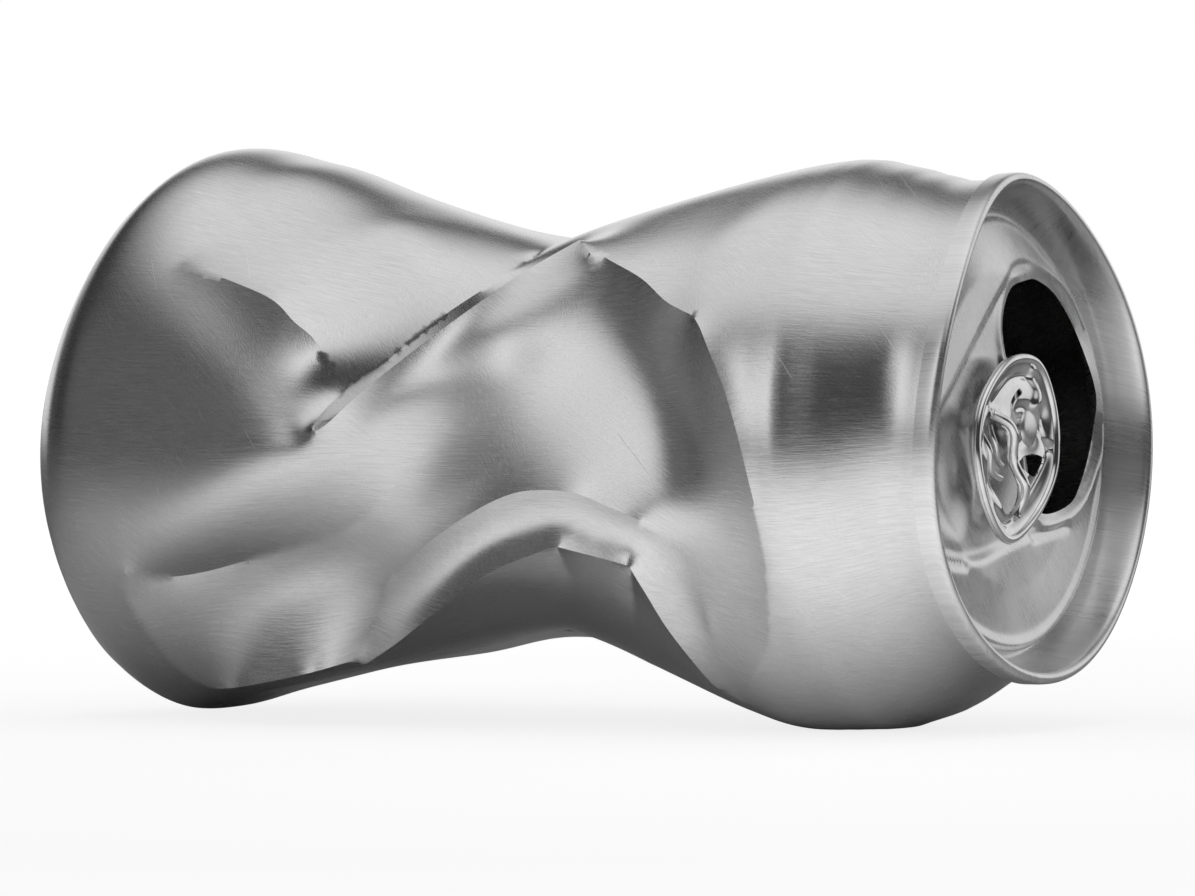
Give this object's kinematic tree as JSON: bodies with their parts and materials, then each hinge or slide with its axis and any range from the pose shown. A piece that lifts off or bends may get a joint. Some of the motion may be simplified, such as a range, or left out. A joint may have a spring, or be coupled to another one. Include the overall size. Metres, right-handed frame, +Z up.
{
  "type": "crushed_drink_can",
  "caption": "Crushed aluminium drink can lying on its side, pinched at the waist, with a domed base, an opened end and a bent pull tab",
  "frame": {"origin": "middle of the bounding box in X and Y, on the floor the can lies on", "axes": "+X runs along the can from its domed base to the opened end, +Z is up, the long folds face -Y"},
  "size_m": [0.1274, 0.0676, 0.0689],
  "materials": {
    "body_sheet": "bare drawn sheet, satin along the can, scuffed and hairline scratched",
    "end_sheet": "bare rolled sheet, satin, bright on the bead and seam",
    "tab_sheet": "bright, close to a mirror, crumpled"
  },
  "bodies": {
    "root": {"can_body": "body_sheet", "can_end": "end_sheet", "pull_tab": "tab_sheet"}
  },
  "joints": []
}
